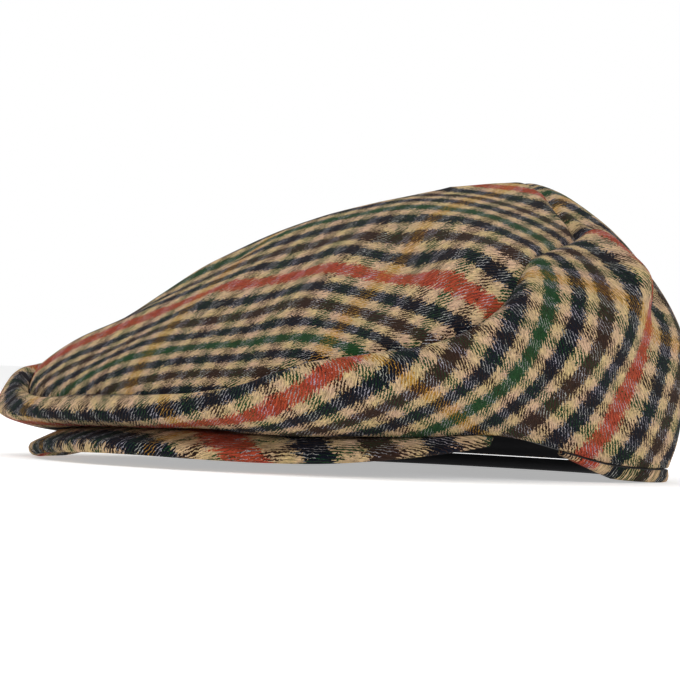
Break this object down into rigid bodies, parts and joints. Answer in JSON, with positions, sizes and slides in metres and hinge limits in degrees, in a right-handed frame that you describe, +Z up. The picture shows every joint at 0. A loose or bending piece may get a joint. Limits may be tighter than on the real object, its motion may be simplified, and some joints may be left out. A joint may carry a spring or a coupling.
{
  "type": "flat cap",
  "caption": "Soft checked tweed flat cap with a one-piece sloping top, a puffed side panel over the head opening, a short stiff peak under the front lip and a narrow hem at the back.",
  "frame": {"origin": "centre of the cap's box on the surface that it rests on", "axes": "+Z up, -Y towards the peak, +X to the wearer's left"},
  "size_m": [0.2082, 0.253, 0.1089],
  "materials": {
    "tweed": "brushed twill in beige, navy, brown, green and rust checks",
    "tweed_edge": "the same twill, folded and topstitched",
    "black_cloth": "plain black woven band"
  },
  "bodies": {
    "root": {"top_panel": "tweed", "side_panel": "tweed", "peak": "tweed", "back_hem": "tweed_edge", "sweatband": "black_cloth"}
  },
  "joints": []
}
